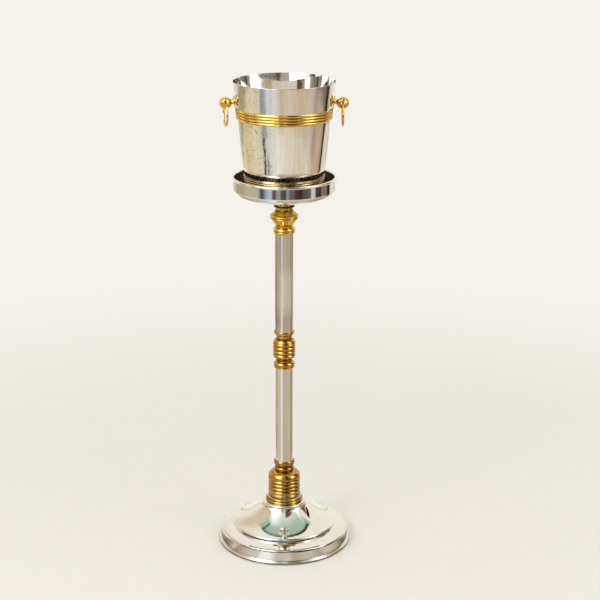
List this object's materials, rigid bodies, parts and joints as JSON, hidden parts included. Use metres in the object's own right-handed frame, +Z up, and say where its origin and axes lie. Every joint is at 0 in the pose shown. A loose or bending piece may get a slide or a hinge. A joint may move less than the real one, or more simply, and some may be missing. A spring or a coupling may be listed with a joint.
{
  "type": "ice bucket on stand",
  "caption": "Tapered steel ice bucket with ribbed brass band and swinging ring handles, standing in a chromed dish on a tall brass and chrome column with a round weighted base.",
  "frame": {"origin": "on the floor under the column's axis, at the underside of the felt pad", "axes": "+Z up along the column; the two ring handles are on +X and -X; +Y points to the back"},
  "size_m": [0.2596, 0.2596, 0.919],
  "materials": {
    "bucket_steel": "worn satin steel outside, bright inside",
    "chrome": "polished chrome plate with light wear",
    "brass": "polished brass, darker in the grooves",
    "aged_brass": "tarnished brass, brown in the grooves",
    "black_rubber": "matt black",
    "cast_iron": "raw casting",
    "zinc_steel": "zinc plated",
    "felt": "dark green felt"
  },
  "bodies": {
    "stand": {"base_shell": "chrome", "base_weight": "cast_iron", "base_cover": "zinc_steel", "felt_pad": "felt", "base_washer": "zinc_steel", "base_nut": "zinc_steel", "tie_rod": "zinc_steel", "base_flange": "aged_brass", "ribbed_drum": "aged_brass", "foot_bead": "aged_brass", "foot_collar": "aged_brass", "lower_tube": "chrome", "mid_lower_collar": "brass", "mid_barrel": "brass", "mid_upper_collar": "brass", "upper_tube": "chrome", "capital_collar": "brass", "capital_knop": "brass", "neck_washer": "black_rubber", "tray_support": "brass", "tray_dish": "chrome", "tray_washer": "zinc_steel", "tray_nut": "zinc_steel"},
    "bucket": {"bucket_shell": "bucket_steel", "rib_band": "brass", "foot_ring": "brass", "left_escutcheon": "brass", "left_knob": "brass", "left_washer": "zinc_steel", "left_screw": "zinc_steel", "right_escutcheon": "brass", "right_knob": "brass", "right_washer": "zinc_steel", "right_screw": "zinc_steel"},
    "left_handle_ring": {"left_ring": "brass"},
    "right_handle_ring": {"right_ring": "brass"}
  },
  "joints": [
    {"name": "bucket_lift", "type": "slide", "parent": "stand", "child": "bucket", "axis": [0, 0, 1], "range_m": [0, 0.12]},
    {"name": "left_ring_swing", "type": "hinge", "parent": "bucket", "child": "left_handle_ring", "pos_m": [-0.10852, 0, 0.87774], "axis": [-0.1908, 0.9816, 0], "range_deg": [-25, 180]},
    {"name": "right_ring_swing", "type": "hinge", "parent": "bucket", "child": "right_handle_ring", "pos_m": [0.10852, 0, 0.87774], "axis": [0, -1, 0], "range_deg": [-25, 180]}
  ]
}
